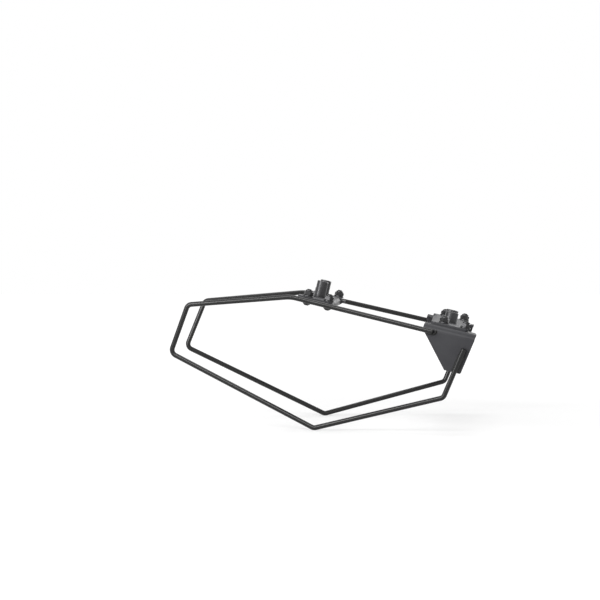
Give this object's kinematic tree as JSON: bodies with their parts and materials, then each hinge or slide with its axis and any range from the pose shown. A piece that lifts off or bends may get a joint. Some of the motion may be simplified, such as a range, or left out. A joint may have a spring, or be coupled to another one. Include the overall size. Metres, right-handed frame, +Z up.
{
  "type": "pannier frame",
  "caption": "Bent-rod side loops on folded cheek plates, tabs and bolted bridges, which hold soft panniers clear of a motorbike's rear wheel.",
  "frame": {"origin": "in the mounting plane, at the tops of the bushes, midway between the front mounting bolts", "axes": "+X forward along the bike, +Y to the bike's left, +Z up"},
  "size_m": [0.369, 0.3096, 0.1773],
  "materials": {
    "rod_coat": "satin black powder coat on bent steel rod",
    "plate_coat": "fine-textured satin black powder coat on sheet steel",
    "weld_coat": "satin black powder coat over rippled weld beads",
    "bush_black": "turned steel, black zinc plated",
    "fastener_black": "black zinc-plated steel fasteners"
  },
  "bodies": {
    "root": {"right_loop": "rod_coat", "left_loop": "rod_coat", "right_cheek": "plate_coat", "left_cheek": "plate_coat", "right_tab": "plate_coat", "left_tab": "plate_coat", "right_bar_weld": "weld_coat", "left_bar_weld": "weld_coat", "right_leg_weld": "weld_coat", "left_leg_weld": "weld_coat", "right_tab_weld": "weld_coat", "left_tab_weld": "weld_coat", "front_bridge": "plate_coat", "rear_bridge": "plate_coat", "front_bushes": "bush_black", "rear_bushes": "bush_black", "front_bolts": "fastener_black", "front_washers": "fastener_black", "front_nuts": "fastener_black", "rear_bolts": "fastener_black", "rear_washers": "fastener_black", "rear_nuts": "fastener_black"}
  },
  "joints": []
}
